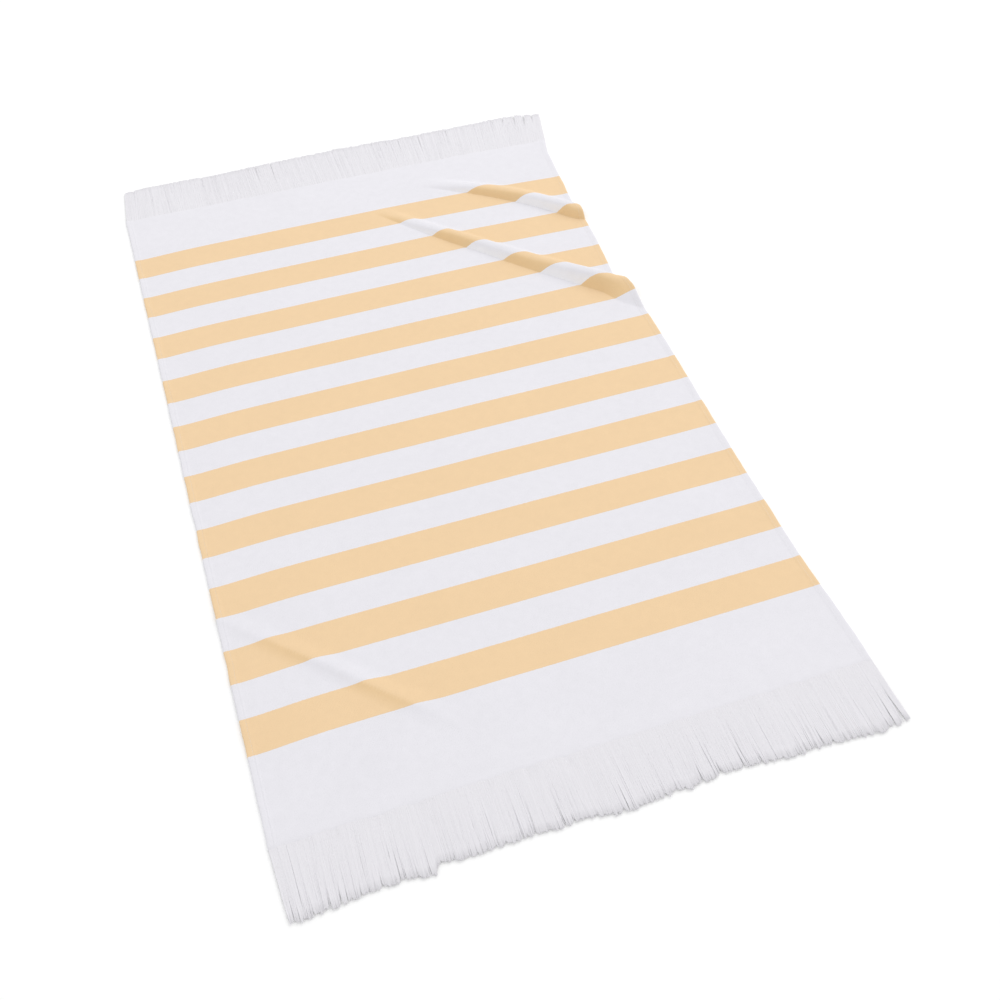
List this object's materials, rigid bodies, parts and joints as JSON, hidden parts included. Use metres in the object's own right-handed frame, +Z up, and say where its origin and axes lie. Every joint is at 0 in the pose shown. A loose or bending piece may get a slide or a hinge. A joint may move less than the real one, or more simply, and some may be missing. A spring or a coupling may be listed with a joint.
{
  "type": "beach towel",
  "caption": "Rectangular woven cotton beach towel with cross stripes and a fringe at each short end, laid flat with a few soft folds.",
  "frame": {"origin": "on the ground under the middle of the towel's bounding box", "axes": "+X across the width, +Y along the length, +Z up"},
  "size_m": [1.0509, 1.8419, 0.0291],
  "materials": {
    "towel_cotton": "white cotton towelling with woven apricot-yellow cross stripes",
    "fringe_cotton": "loose white cotton yarn ends"
  },
  "bodies": {
    "root": {"towel_cloth": "towel_cotton", "fringe_far": "fringe_cotton", "fringe_near": "fringe_cotton"}
  },
  "joints": []
}
